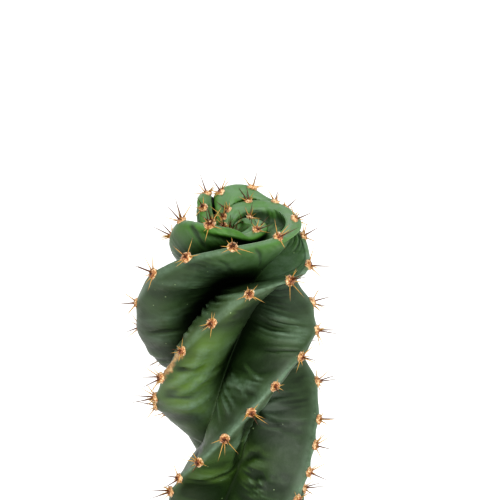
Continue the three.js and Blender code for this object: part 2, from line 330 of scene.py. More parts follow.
def new_material(name):
    """A new node material, its tree and its Principled shader, which is already joined to the output."""
    material = bpy.data.materials.new(name)
    material.use_nodes = True
    tree = material.node_tree
    return material, tree, tree.nodes["Principled BSDF"]


def sort_parts(parts, place):
    ranks = {part: rank for rank, part in enumerate(sorted(parts, key=place))}
    parts.sort(key=ranks.get)


def turned(profile, steps):
    """A closed body of revolution around the Z axis, from its outline as (radius, height) in millimetres."""
    bm = bmesh.new()
    verts = [bm.verts.new((radius * MM, 0, height * MM)) for radius, height in profile]
    edges = [bm.edges.new(pair) for pair in zip(verts, verts[1:] + verts[:1])]
    bmesh.ops.spin(
        bm, geom=verts + edges, cent=(0, 0, 0), axis=(0, 0, 1), angle=math.tau, steps=steps, use_merge=True,
    )
    bmesh.ops.remove_doubles(bm, verts=bm.verts, dist=1e-6)
    bmesh.ops.recalc_face_normals(bm, faces=bm.faces)
    # The spin leaves its parts in a chance order, which is made the same for each run
    sort_parts(bm.verts, lambda vert: vert.co[:])
    bm.verts.index_update()
    for parts in (bm.edges, bm.faces):
        sort_parts(parts, lambda part: sorted(vert.index for vert in part.verts))
    return bm


def finish_piece(bm, name, material, replaces=None):
    """Turns a bmesh into a smooth piece of the plant, which stands in its pot without a joint."""
    mesh = bpy.data.meshes.new(name)
    bm.to_mesh(mesh)
    bm.free()
    mesh.shade_smooth()
    mesh.materials.append(material)
    piece = bpy.data.objects.new(name, mesh)
    bpy.context.scene.collection.objects.link(piece)
    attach(piece, "root")
    if replaces:
        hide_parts(replaces)


class StemSettings(bpy.types.PropertyGroup):
    crown_thickness: FloatProperty(
        name="Crown rib thickness", description="How far the young ribs' flanks swell at their crests",
        default=1.4 * MM, min=0, max=4 * MM, unit="LENGTH",
    )
    crown_roll: FloatProperty(
        name="Crown roll", description="How far the rolls of the young ribs swell below their crests",
        default=2 * MM, min=0, max=4 * MM, unit="LENGTH",
    )
    old_thickness: FloatProperty(
        name="Old rib thickness", description="How far the old ribs' flanks swell at their crests",
        default=0.45 * MM, min=0, max=3 * MM, unit="LENGTH",
    )
    fold_depth: FloatProperty(
        name="Fold depth", description="Depth of the folds that cross the flanks between the areoles",
        default=1.5 * MM, min=0, max=3 * MM, unit="LENGTH",
    )
    old_colour: FloatVectorProperty(
        name="Old skin", description="Colour of the grown stem", subtype="COLOR", default=linear("#3b4f30"),
    )
    shade_colour: FloatVectorProperty(
        name="Deep skin", description="Colour of the skin's darker clouds", subtype="COLOR",
        default=linear("#28371f"),
    )
    young_colour: FloatVectorProperty(
        name="Young skin", description="Colour of the crown", subtype="COLOR", default=linear("#4d7a2b"),
    )
    bloom_colour: FloatVectorProperty(
        name="Wax bloom", description="Colour of the wax on the crests", subtype="COLOR",
        default=linear("#6f8470"),
    )


class SpineSettings(bpy.types.PropertyGroup):
    felt_radius: FloatProperty(
        name="Areole radius", description="Radius of an areole's felt cushion", default=2.25 * MM,
        min=1 * MM, max=4 * MM, unit="LENGTH",
    )
    radial_count: IntProperty(
        name="Radial spines", description="Radial spines on each areole", default=6, min=3, max=10,
    )
    radial_length: FloatProperty(
        name="Radial length", description="Length of a radial spine", default=7.2 * MM, unit="LENGTH",
    )
    central_length: FloatProperty(
        name="Central length", description="Length of a central spine", default=9.8 * MM, unit="LENGTH",
    )
    spine_radius: FloatProperty(
        name="Spine radius", description="Radius of a spine at its base", default=0.28 * MM, unit="LENGTH",
    )


class PotSettings(bpy.types.PropertyGroup):
    clay_colour: FloatVectorProperty(
        name="Clay", description="Colour of the fired clay", subtype="COLOR", default=linear("#ac6d4c"),
    )
    groove_depth: FloatProperty(
        name="Turning marks", description="Depth of the turning marks on the wall", default=0.12 * MM,
        unit="LENGTH",
    )


class SoilSettings(bpy.types.PropertyGroup):
    grit_count: IntProperty(
        name="Grit", description="Stones of grit on the soil", default=420, min=0, max=1500,
    )
    soil_colour: FloatVectorProperty(
        name="Soil", description="Colour of the dry soil", subtype="COLOR", default=linear("#3d2c20"),
    )


class StageSettings(bpy.types.PropertyGroup):
    floor_size: FloatProperty(
        name="Floor", description="Width of the pale floor", default=24, unit="LENGTH",
    )
    room_light: FloatProperty(
        name="Room", description="Strength of the white room's own light", default=0.6, min=0,
    )
    daylight: FloatProperty(
        name="Skylight", description="Strength of the broad light from above", default=1.15, min=0,
    )
    front_light: FloatProperty(
        name="Front light", description="Strength of the broad, low light from the front", default=2.1, min=0,
    )
    back_light: FloatProperty(
        name="Back light", description="Strength of the broad light from behind", default=0.5, min=0,
    )


# Unglazed terracotta, pressed and then turned smooth: matt, a little sandy, with pale mineral marks
def terracotta(settings):
    material, tree, shader = new_material("Unglazed terracotta")
    clay = settings.clay_colour
    place = object_place(tree)
    clouds = clouds_of(tree, place, 28, 4, 0.6)
    grain = clouds_of(tree, place, 0.9, 3, 0.7)
    colour = ramp(
        tree, clouds,
        (0.3, opaque([c * 0.78 for c in clay])),
        (0.5, opaque(clay)),
        (0.72, opaque([min(1, c * 1.18 + 0.02) for c in clay])),
    )
    colour = blend(tree, remap(tree, grain, 0.55, 0.75, 0, 0.45), colour, paint("#8a4a2c"))
    # Water leaves lime on the foot and below the rim, in soft blotches
    height = add(tree, "ShaderNodeSeparateXYZ", {"Vector": place}).outputs["Z"]
    foot = remap(tree, height, 26 * MM, 2 * MM, 0, 0.5)
    lip = remap(tree, height, 96 * MM, 109 * MM, 0, 0.4)
    blotch = remap(tree, clouds_of(tree, place, 14, 6, 0.65), 0.46, 0.7)
    lime = calculate(tree, "MULTIPLY", calculate(tree, "ADD", foot, lip), blotch)
    colour = blend(tree, lime, colour, paint("#e2d2bd"))
    marks = add(tree, "ShaderNodeTexWave", {
        "Vector": place, "Scale": 1 / (TURNING_MARK * MM) / math.tau, "Distortion": 1.2, "Detail": 2,
    }, bands_direction="Z").outputs["Fac"]
    relief = calculate(tree, "ADD", grain, marks)
    dress(tree, shader, colour, (relief, 0.35, 0.12), {
        "Roughness": 0.88, "IOR": 1.5, "Specular IOR Level": 0.3,
    })
    return material


# Loam with peat, dry on top: matt and crumbly, with fine pale fibres
def loam(settings):
    material, tree, shader = new_material("Peaty loam")
    soil = settings.soil_colour
    place = object_place(tree)
    crumbs = clouds_of(tree, place, 2.2, 6, 0.7)
    colour = ramp(
        tree, crumbs,
        (0.3, opaque([c * 0.35 for c in soil])), (0.52, opaque(soil)),
        (0.68, paint("#6b5440")), (0.8, paint("#94805f")),
    )
    dress(tree, shader, colour, (crumbs, 0.9, 0.6), {"Roughness": 0.95, "Specular IOR Level": 0.2})
    return material


# Sharp grit of pumice, lava and quartz: matt broken stone, each grain with its own shade
def stone():
    material, tree, shader = new_material("Broken grit stone")
    place = object_place(tree)
    colour = ramp(
        tree, attribute(tree, "kind"),
        (0.0, paint("#4c3328")), (0.35, paint("#7a5a48")), (0.6, paint("#a3977f")), (1.0, paint("#d8cfba")),
    )
    pores = clouds_of(tree, place, 0.7, 3, 0.6)
    colour = blend(tree, remap(tree, pores, 0.5, 0.75, 0, 0.6), colour, paint("#5a4a3c"))
    dress(tree, shader, colour, (pores, 0.6, 0.2), {"Roughness": 0.9})
    return material


# A cactus's waxy skin: leathery, half matt, dark green with a blue-grey wax bloom on the crests, painted shade
# in its recesses, folds and some patches, and yellow-green with painted light on some flanks
def waxy_skin(settings):
    material, tree, shader = new_material("Waxy cactus skin")
    place = object_place(tree)
    fold = attribute(tree, "fold")
    painted_recess_shade = attribute(tree, "painted_recess_shade")
    clouds = clouds_of(tree, place, 22, 4, 0.55)
    mottle = clouds_of(tree, place, 3.2, 4, 0.65)
    grain = clouds_of(tree, place, 0.9, 2, 0.5)
    old = [opaque(settings.shade_colour), opaque(settings.old_colour)]
    colour = blend(tree, remap(tree, clouds, 0.38, 0.6), *old)
    for share, over in (
        (attribute(tree, "youth"), opaque(settings.young_colour)),
        # Yellow-green tone, partly painted light, on some lower flanks
        (attribute(tree, "yellow_tone_and_painted_light"), paint("#617c33")),
        # Painted shade: deep green patches
        (attribute(tree, "painted_patch_shade"), paint("#1d3510")),
        # Painted shade: near black in the recesses, where the other folds keep the open air away, and along the
        # valleys
        (remap(tree, painted_recess_shade, 0.3, 0.8, 0, 0.96), paint("#070c06")),
        # Painted shade in the troughs of the folds, the creases and the young ribs' grooves
        (remap(tree, fold, 0.5, 0.34, 0, 0.8), paint("#18280f")),
    ):
        colour = blend(tree, share, colour, over)
    # The wax lies thickest along the crests and on the ridges of the folds, where its pale colour is partly a
    # painted highlight, and is missing in the recesses, under the painted shade
    wax = calculate(tree, "ADD", attribute(tree, "wax"), remap(tree, fold, 0.54, 0.74, 0, 0.6))
    wax = calculate(tree, "MULTIPLY", wax, remap(tree, mottle, 0.3, 0.68, 0.35, 1), use_clamp=True)
    wax = calculate(tree, "MULTIPLY", wax, remap(tree, painted_recess_shade, 0.6, 0.25))
    colour = blend(tree, wax, colour, opaque(settings.bloom_colour))
    # Fine pale flecks, here and there
    flecks = add(tree, "ShaderNodeTexVoronoi", {"Vector": place, "Scale": 1 / (4.5 * MM)}).outputs
    chance = add(tree, "ShaderNodeSeparateColor", {"Color": flecks["Color"]}).outputs["Red"]
    chosen = calculate(tree, "GREATER_THAN", chance, 0.72)
    spot = remap(tree, flecks["Distance"], 0.09, 0.04, 0, 0.45)
    colour = blend(tree, calculate(tree, "MULTIPLY", spot, chosen), colour, paint("#a8bd8e"))
    corky = ramp(
        tree, mottle,
        (0.3, paint("#6f5233")), (0.5, paint("#a0825a")), (0.7, paint("#c9b186")),
    )
    colour = blend(tree, attribute(tree, "cork"), colour, corky)
    relief = calculate(tree, "ADD", mottle, calculate(tree, "MULTIPLY", grain, 0.3))
    # The specular level falls away under the painted recess shade
    dress(tree, shader, colour, (relief, 0.3, 0.35), {
        "Roughness": remap(tree, mottle, 0.3, 0.7, 0.36, 0.52), "IOR": 1.45,
        "Specular IOR Level": remap(tree, painted_recess_shade, 0.2, 0.8, 0.5, 0.02),
    })
    return material


# Areole felt: short matted wool, in grains from cream to rust, and dark where the spines stand
def felt():
    material, tree, shader = new_material("Areole felt")
    place = object_place(tree)
    tufts = clouds_of(tree, place, 0.9, 4, 0.7)
    inward = calculate(tree, "ADD", attribute(tree, "core"), remap(tree, tufts, 0.3, 0.7, 0.75, -0.25))
    colour = ramp(
        tree, inward,
        (0.0, paint("#e6cda8")), (0.3, paint("#c3986b")), (0.6, paint("#8c5735")), (1.0, paint("#2e170d")),
    )
    dress(tree, shader, colour, (tufts, 0.8, 0.3), {"Roughness": 0.95, "Sheen Weight": 0.3})
    return material


# Spines: hard horn, smooth and slightly glossy, brown at the base and amber to the tip
def horn(name, base, middle, tip):
    material, tree, shader = new_material(name)
    colour = ramp(
        tree, attribute(tree, "length"),
        (0.0, paint(base)), (0.3, paint(middle)), (0.75, paint(middle)), (1.0, paint(tip)),
    )
    dress(tree, shader, colour, None, {"Roughness": 0.4, "IOR": 1.55})
    return material


# The pot and its soil, in millimetres
POT_HEIGHT = 110
RIM_BOTTOM = 86
RIM_RADIUS = 65
RIM_WALL = 7
BODY_TOP_RADIUS = 60.5
BASE_RADIUS = 44
POT_WALL = 6
POT_FLOOR = 8
DRAIN_RADIUS = 6
SOIL_TOP = 98
SOIL_CROWN = 2.5
SOIL_GAP = 0.3
HOLE_RADIUS = 18.4
HOLE_SHOULDER = 90
HOLE_FLOOR = 75
TURNING_MARK = 1.6
BIG_STONES = 36
GRIT_SEED = 23


def pot_inner_radius(height):
    """Radius of the pot's inner wall, in millimetres, which tapers to the floor as its outside does."""
    body = mix(BASE_RADIUS, BODY_TOP_RADIUS, clamp(height / RIM_BOTTOM)) - POT_WALL
    return mix(body, RIM_RADIUS - RIM_WALL, clamp((height - RIM_BOTTOM) / (POT_HEIGHT - RIM_BOTTOM)))


class CACTUS_OT_pot(bpy.types.Operator):
    """Turns the clay pot, with its rim, turning marks and drain hole"""
    bl_idname = "cactus.pot"
    bl_label = "Pot"

    def execute(self, context):
        settings = context.scene.cactus_pot
        marks = [settings.groove_depth / MM * (0.5 + 0.5 * math.sin(2.4 * k)) for k in range(42)]
        inner_rim = RIM_RADIUS - RIM_WALL
        outline = [(DRAIN_RADIUS, 0.8), (DRAIN_RADIUS + 0.8, 0), (BASE_RADIUS - 2, 0)]
        outline += [(BASE_RADIUS - 0.6, 0.5), (BASE_RADIUS, 1.8)]
        for k in range(1, 42):
            height = mix(1.8, RIM_BOTTOM - 1.2, k / 42)
            outline.append((mix(BASE_RADIUS, BODY_TOP_RADIUS, height / RIM_BOTTOM) - marks[k], height))
        outline += [(BODY_TOP_RADIUS - 0.2, RIM_BOTTOM), (RIM_RADIUS - 1.6, RIM_BOTTOM)]
        outline += [(RIM_RADIUS - 0.4, RIM_BOTTOM + 0.5), (RIM_RADIUS, RIM_BOTTOM + 1.8)]
        for k in range(1, 12):
            height = mix(RIM_BOTTOM + 1.8, POT_HEIGHT - 2.4, k / 12)
            outline.append((RIM_RADIUS - marks[k], height))
        outline += [(RIM_RADIUS, POT_HEIGHT - 2.2), (RIM_RADIUS - 0.6, POT_HEIGHT - 0.7)]
        outline += [(RIM_RADIUS - 2, POT_HEIGHT), (inner_rim + 2, POT_HEIGHT)]
        outline += [(inner_rim + 0.6, POT_HEIGHT - 0.6), (inner_rim, POT_HEIGHT - 2)]
        for height in (104, 100, 96, 92, 88, RIM_BOTTOM, 60, 34, POT_FLOOR + 1):
            outline.append((pot_inner_radius(height), height))
        outline += [(pot_inner_radius(POT_FLOOR) - 1, POT_FLOOR), (DRAIN_RADIUS, POT_FLOOR)]
        bm = turned(outline, 128)
        finish_piece(bm, "clay_pot", terracotta(settings), "pot")
        return {"FINISHED"}


def soil_height(radius):
    edge = pot_inner_radius(SOIL_TOP) - SOIL_GAP
    return SOIL_TOP + SOIL_CROWN * (1 - (radius / edge) ** 2)


class CACTUS_OT_soil(bpy.types.Operator):
    """Fills the pot with crumbly soil, which leaves the stem's hole open, and strews it with grit"""
    bl_idname = "cactus.soil"
    bl_label = "Soil and grit"

    def execute(self, context):
        settings = context.scene.cactus_soil
        edge = pot_inner_radius(SOIL_TOP) - SOIL_GAP
        bottom = POT_FLOOR + SOIL_GAP
        outline = [(0.01, bottom), (pot_inner_radius(POT_FLOOR) - SOIL_GAP, bottom)]
        outline += [(pot_inner_radius(RIM_BOTTOM) - SOIL_GAP, RIM_BOTTOM)]
        for k in range(30):
            radius = mix(edge, HOLE_RADIUS, k / 29)
            outline.append((radius, soil_height(radius)))
        outline += [(HOLE_RADIUS, HOLE_SHOULDER), (HOLE_RADIUS, HOLE_FLOOR), (0.01, HOLE_FLOOR)]
        bm = turned(outline, 144)
        for vert in bm.verts:
            radius = math.hypot(vert.co.x, vert.co.y) / MM
            if vert.co.z / MM > SOIL_TOP - 0.5 and radius < edge - 0.5:
                lumps = noise.fractal(vert.co / (7 * MM), 0.6, 2.1, 4)
                vert.co.z += 0.9 * MM * lumps * rise(HOLE_RADIUS, HOLE_RADIUS + 2, radius)
        finish_piece(bm, "soil_bed", loam(settings), "soil")
        self.strew(settings.grit_count, edge)
        return {"FINISHED"}

    def strew(self, count, edge):
        draw = random.Random(GRIT_SEED)
        # Without a seed, noise_vector takes its offsets from the clock
        noise.seed_set(GRIT_SEED)
        bm = bmesh.new()
        kind = bm.verts.layers.float.new("kind")
        for n in range(count):
            big = n < BIG_STONES
            size = draw.uniform(1.6, 2.6) if big else draw.uniform(0.5, 1.3)
            radius = math.sqrt(mix((HOLE_RADIUS + 1.5) ** 2, (edge - size - 0.6) ** 2, draw.random()))
            angle = draw.uniform(0, math.tau)
            turn = Matrix.Rotation(draw.uniform(0, math.tau), 4, (draw.gauss(0, 1), draw.gauss(0, 1), 1))
            shape = Matrix.Diagonal((draw.uniform(1, 1.3), draw.uniform(0.8, 1), draw.uniform(0.6, 0.85), 1))
            height = soil_height(radius) + 0.1 * size
            at = Vector((radius * math.cos(angle), radius * math.sin(angle), height))
            made = bmesh.ops.create_icosphere(
                bm, subdivisions=2 if big else 1, radius=size * MM,
                matrix=Matrix.Translation(at * MM) @ turn @ shape,
            )
            shade = draw.random() ** (0.7 if big else 1.2)
            for vert in made["verts"]:
                vert[kind] = shade
                vert.co += 0.22 * size * MM * noise.noise_vector(vert.co / (1.3 * MM))
        finish_piece(bm, "grit", stone())


# Creases of the skin: depth (raised where it is negative) and width in millimetres, path of (turn, phase)
CREASES = (
    (1.4, 0.9, ((-257, 2.06), (-263, 2.28), (-269, 2.5), (-274, 2.67), (-278, 2.83), (-281, 2.95))),
    (0.9, 1.3, ((-285, 2.8), (-291, 2.64), (-300, 2.44), (-312, 2.27), (-320, 2.1))),
    (1.1, 2.2, ((-258, 2.04), (-268, 2.12), (-281, 2.24), (-293, 2.35), (-305, 2.42))),
    (-0.7, 0.8, ((-236, 1.62), (-243, 1.78), (-250, 1.93))),
    (-0.7, 0.8, ((-246, 1.58), (-251, 1.72), (-257, 1.9))),
    (-0.8, 0.8, ((-253, 1.64), (-257, 1.78), (-263, 1.93))),
    (-0.7, 0.8, ((-259, 1.6), (-263, 1.75), (-269, 1.9))),
    (-0.6, 0.9, ((-227, 1.68), (-233, 1.8), (-239, 1.94))),
    (-0.5, 1.8, ((-206, 1.1), (-221, 1.16), (-237, 1.15), (-247, 1.06))),
    (-0.6, 1.8, ((-226, 1.3), (-238, 1.27), (-249, 1.22), (-257, 1.1))),
    (-0.5, 1.6, ((-254, 1.4), (-261, 1.33), (-267, 1.2))),
    (0.6, 1.3, ((-57, 3.04), (-61, 3.17), (-66, 3.36))),
    (0.5, 0.9, ((-80, 0.08), (-84, 0.2), (-90, 0.36))),
    (0.5, 0.9, ((-112, 0.08), (-114, 0.22), (-119, 0.36))),
)
# Patches of the skin: turn, phase, radius in millimetres, and how much yellow-green tone with painted light,
# frost, and painted shade in deep green
PATCHES = (
    (-186, 1.12, 9, 0.3, 0, 0), (-212, 1.15, 9, 0.7, 0, 0), (-226, 1.2, 10, 0.8, 0, 0),
    (-242, 1.2, 10, 1.1, 0.1, 0), (-254, 1.2, 11, 0.9, 0.3, 0), (-262, 1.33, 12, 0.8, 0.5, 0),
    (-270, 1.4, 10, 0.6, 0.5, 0),
    (-292, 2.62, 9, 0.5, 0, 0), (-303, 2.5, 11, 0.5, 0, 0), (-308, 2.25, 13, 0.5, 0, 0),
    (-262, 2.62, 8, 0, 0.35, 0), (-70, 0.66, 14, 0, 0.4, 0),
    (-270, 2.72, 12, 0, 0, 0.7), (-284, 2.82, 14, 0, 0, 0.95), (-298, 2.76, 15, 0, 0, 0.9),
    (-310, 2.7, 15, 0, 0, 0.8), (-190, 2.7, 12, 0, 0, 0.4),
    (-225, 1.6, 9, 0, 0, 0.45), (-240, 1.62, 9, 0, 0, 0.7), (-254, 1.64, 9, 0, 0, 0.7),
    (-247, 1.78, 8, 0, 0, 0.45), (-206, 1.62, 10, 0, 0, 0.2), (-262, 1.78, 8, 0, 0, 0.45),
)
# Places where the painted recess shade is mostly lifted, so the skin stays pale: a turn, a phase and their
# radius in millimetres
AIRY = ((-48, 0.7, 11), (-65, 0.68, 13), (-88, 0.74, 12), (-262, 1.33, 12))
# The dry cork scar on rib B's crest: its first and last turn, and how softly it ends
SCAR = (-217, -240)
SCAR_ENDING = 3
# The width of an old flank, and the distances across the roll of a young rib, in millimetres
OLD_FLANK = 27
NOSE_LENGTH = 9
ROLL_GROOVE = 9.5
# The sizes of the skin's ridges, swells and other changes along a rib, in millimetres
RIDGE_SIZE = 3.4
SWELL_SIZE = 12

# The directions in which a point of the skin casts rays for its painted recess shade, and how far it looks, in
# millimetres
SHELTER_RAYS = [
    Vector((math.cos(2.4 * k) * math.sqrt(1 - h * h), math.sin(2.4 * k) * math.sqrt(1 - h * h), h))
    for k in range(14) for h in [1 - 2 * (k + 0.5) / 14]
]
SHELTER_REACH = 28


class CACTUS_OT_stem(bpy.types.Operator):
    """Grows the stem's fine skin over its four spiral ribs"""
    bl_idname = "cactus.stem"
    bl_label = "Stem"

    def execute(self, context):
        settings = context.scene.cactus_stem
        bm = bmesh.new()
        bmesh.ops.create_cone(bm, cap_ends=False, segments=PLACES_AROUND, radius1=1, radius2=1, depth=1)
        upright = [e for e in bm.edges if abs(e.verts[0].co.z - e.verts[1].co.z) > 0.5]
        bmesh.ops.subdivide_edges(bm, edges=upright, cuts=RINGS - 1, use_grid_fill=True)
        names = ("turn", "phase", "wax", "youth", "fold", "yellow_tone_and_painted_light", "painted_patch_shade", "cork", "painted_recess_shade")
        layers = {name: bm.verts.layers.float.new(name) for name in names}
        lengths = [self.crest_lengths(rib) for rib in range(4)]
        for vert in bm.verts:
            turn = on_line(RING_TURNS, 0.5 - vert.co.z)
            around = math.atan2(vert.co.y, vert.co.x) / (math.pi / 2) % 4
            rib = round(around)
            local = around - rib
            across = 0.5 * math.copysign(abs(2 * local) ** CREST_CROWDING, local)
            vert[layers["turn"]] = turn
            vert[layers["phase"]] = rib + across
            vert.co = skin(turn, rib + across)
        bm.normal_update()
        self.thicken(bm, layers, settings)
        bm.normal_update()
        self.crumple(bm, layers, settings, lengths)
        bm.normal_update()
        # Painted shade in the recesses, baked from rays cast from the skin
        self.bake_recess_shade(bm, layers["painted_recess_shade"])
        for end_turn in (RING_TURNS[-1][1], RING_TURNS[0][1]):
            ring = [v for v in bm.verts if abs(v[layers["turn"]] - end_turn) < 1e-3]
            middle = sum((v.co for v in ring), Vector()) / len(ring)
            bmesh.ops.pointmerge(bm, verts=ring, merge_co=middle)
        bmesh.ops.scale(bm, vec=(MM, MM, MM), verts=bm.verts)
        finish_piece(bm, "stem_skin", waxy_skin(settings), "stem")
        return {"FINISHED"}

    @staticmethod
    @lru_cache(maxsize=None)
    def facing(turn, rib):
        return areole_axes(turn, rib)[1]

    def crest_lengths(self, rib):
        """Distance along a crest from the tip, in millimetres, at every degree of turn down."""
        total, lengths = 0, []
        before = skin(FIRST_TURN, rib)
        for turn in range(FIRST_TURN, LAST_TURN - 1, -1):
            here = skin(turn, rib)
            total += (here - before).length
            before = here
            lengths.append(total)
        return lengths

    def thicken(self, bm, layers, settings):
        """Swells the flanks beside each crest, so that a rib ends in a round nose instead of an edge."""
        for vert in bm.verts:
            turn, phase = vert[layers["turn"]], vert[layers["phase"]]
            rib = round(phase)
            across = phase - rib
            reach = abs(2 * across)
            valley = skin(turn, rib + math.copysign(NEAR_VALLEY, across))
            from_crest = reach * (skin(turn, rib) - valley).length
            crown = rise(-150, -40, turn) * rise(165, 120, turn)
            nose = mix(settings.old_thickness, settings.crown_thickness, crown) / MM * rise(-520, -480, turn)
            # Young ribs are round rolls: they swell again just under the crest, over a groove
            rolled = rise(-75, -5, turn) * rise(150, 100, turn)
            groove = rolled * math.exp(-((from_crest - ROLL_GROOVE) / 1.8) ** 2) * rise(1.0, 0.8, reach)
            roll = rolled * rise(0, 3.5, from_crest) * rise(ROLL_GROOVE, 5.5, from_crest) - 0.8 * groove
            # The groove is also marked for painted shade in the skin's colour
            vert[layers["fold"]] = -groove
            vert.co += vert.normal * (nose + roll * settings.crown_roll / MM) * (1 - reach ** 3)
            vert.co -= self.facing(turn, rib) * nose * max(0, 1 - from_crest / NOSE_LENGTH) ** 2
        young = [v for v in bm.verts if v[layers["turn"]] > -130]
        for _ in range(2):
            bmesh.ops.smooth_vert(
                bm, verts=young, factor=0.5, use_axis_x=True, use_axis_y=True, use_axis_z=True,
            )

    def crumple(self, bm, layers, settings, lengths):
        """Scallops the crests at the areoles, folds the flanks between them and marks the skin's zones."""
        depth = settings.fold_depth / MM
        turns = [areole_turns(rib) for rib in range(4)]
        patches = [(skin(turn, phase), *rest) for turn, phase, *rest in PATCHES]
        moves = {}
        for vert in bm.verts:
            turn, phase = vert[layers["turn"]], vert[layers["phase"]]
            rib = round(phase) % 4
            across = phase - round(phase)
            reach = abs(2 * across)
            walked = lengths[rib][min(int(FIRST_TURN - turn), len(lengths[rib]) - 1)]
            grown = rise(-60, -200, turn) * rise(-520, -450, turn)
            # Sharp little ridges on broad swells, all running from the crest to the valley
            wander = 1.2 * noise.noise(vert.co / 16)
            upper = across < 0
            side = 0 if upper else 17
            ripple = noise.noise(Vector((walked / RIDGE_SIZE + wander, 0.8 * reach, 7.7 * rib + side)))
            broad = noise.noise(Vector((walked / SWELL_SIZE, 0.8 * reach, 3.1 * rib + 40 + side)))
            ripple = 0.55 - 2.6 * abs(ripple)
            strength = rise(-0.3, 0.4, noise.noise(vert.co / 19 + Vector((5, 0, 0)))) * (1 if upper else 0.55)
            band = rise(0.05, 0.27, reach) * rise(1.0, 0.5, reach)
            fold = (0.95 * ripple * strength + 0.8 * broad) * band * mix(0.3, 1.0, grown)
            place = self.between_areoles(turns[rib], turn)
            scallop = 0.35 * math.cos(math.tau * place) * rise(0.35, 0.0, reach)
            crease = self.crease_at(turn, phase)
            rough = noise.noise(vert.co / 1.6)
            scar = self.along_scar(turn) if rib == 1 else 0
            scar *= rise(1.5, 0.8, reach * OLD_FLANK + 1.2 * rough + 1.0 * noise.noise(vert.co / 4.5))
            moves[vert] = vert.normal * (depth * fold + scallop * grown - crease + scar * (0.7 + 0.7 * rough))
            near = []
            for spot, radius, *amounts in patches:
                share = math.exp(-((vert.co - spot) / radius).length_squared)
                near.append([amount * share for amount in amounts])
            yellow_tone_and_painted_light, frost, painted_patch_shade = (max(kind) for kind in zip(*near))
            streaky = clamp(0.8 + 1.8 * fold + 0.5 * noise.noise(vert.co / 7))
            # The fold mark: painted shade in the troughs, creases and grooves, and pale wax with a painted
            # highlight on the ridges
            ridge = 0.55 * fold - 0.35 * crease + 0.22 * vert[layers["fold"]]
            # The wax lies in a band along the crest, wider on its upper side, with a line on old crests
            aged = rise(-130, -210, turn)
            width = mix(0.42, 0.14, aged) * (1 if upper else 0.6)
            keel = 0.5 * rise(0.04, 0.01, reach) * rise(-205, -225, turn)
            frosted = 0.32 * rise(0.15, 0.5, reach) * rise(-200, -110, turn) + frost
            marks = {
                "cork": scar,
                # Yellow-green tone and painted light, in streaks along the folds
                "yellow_tone_and_painted_light": min(yellow_tone_and_painted_light, 1) * streaky,
                # Painted shade in deep green patches, kept off the ridges of the folds
                "painted_patch_shade": painted_patch_shade * clamp(0.9 - 1.4 * fold),
                "fold": clamp(0.5 + ridge - 0.1 * painted_patch_shade),
                "wax": mix(0.8, 0.42, aged) * rise(width, 0.3 * width, reach) + keel + frosted,
                # Painted shade along the valleys, raised later where the other folds close over the skin
                "painted_recess_shade": mix(0.9, 0.6, aged) * rise(0.76, 1.0, reach),
                "youth": rise(-150, -20, turn) * mix(1.0, 0.55, rise(0.2, 0.6, reach)),
            }
            for name, mark in marks.items():
                vert[layers[name]] = mark
        for vert, move in moves.items():
            vert.co += move

    def along_scar(self, turn):
        """1 along the cork scar, fading to 0 past its ends."""
        start, end = SCAR
        started = rise(start + SCAR_ENDING, start - SCAR_ENDING, turn)
        return started * rise(end - SCAR_ENDING, end + SCAR_ENDING, turn)

    def crease_at(self, turn, phase):
        """How far the creases press in at a place of the skin, in millimetres."""
        pressed = 0
        for depth, width, path in CREASES:
            turns, phases = zip(*path)
            if not (min(turns) - 6 < turn < max(turns) + 6):
                continue
            if not (min(phases) - 0.2 < phase < max(phases) + 0.2):
                continue
            here = skin(turn, phase)
            corners = [skin(*place) for place in path]
            nearest, share = 1e9, 0
            for k, (a, b) in enumerate(zip(corners, corners[1:])):
                along = clamp((here - a).dot(b - a) / (b - a).length_squared)
                distance = (here - a.lerp(b, along)).length
                if distance < nearest:
                    nearest, share = distance, (k + along) / (len(path) - 1)
            fade = rise(0, 0.25, share) * rise(1, 0.75, share)
            lips = 0.3 * math.exp(-((nearest - 2 * width) / width) ** 2)
            pressed += depth * fade * (math.exp(-(nearest / width) ** 2) - lips)
        return pressed

    def bake_recess_shade(self, bm, layer):
        """Marks how much of the open air the skin's other folds keep from each point, as painted shade for the
        skin's colour.
        """
        surface = BVHTree.FromBMesh(bm)
        airy = [(skin(turn, phase), radius) for turn, phase, radius in AIRY]
        for vert in bm.verts:
            blocked = 0
            start = vert.co + 0.4 * vert.normal
            for way in SHELTER_RAYS:
                ray = vert.normal * 1.05 + way
                distance = surface.ray_cast(start, ray, SHELTER_REACH)[3]
                if distance is not None:
                    blocked += 1 - 0.5 * distance / SHELTER_REACH
            opened = max(math.exp(-((vert.co - spot) / radius).length_squared) for spot, radius in airy)
            vert[layer] = max(vert[layer], blocked / len(SHELTER_RAYS)) * (1 - 0.75 * opened)

    def between_areoles(self, turns, turn):
        """Counts areoles down a rib: a whole number on an areole, and shares of one between two."""
        for k, (a, b) in enumerate(zip(turns, turns[1:])):
            if turn >= b:
                return k + clamp((turn - a) / (b - a))
        return len(turns)


SPINE_SIDES = 5
SPINE_PIECES = 3
SPINE_SEED = 7
WOOL_TUFTS = 24
TUFT_RADIUS = 0.2
TIP_BRISTLES = 34
BRISTLE_RADIUS = 0.2
# How far a spine's tip may bend to either side, in millimetres
SPINE_BEND = 0.6


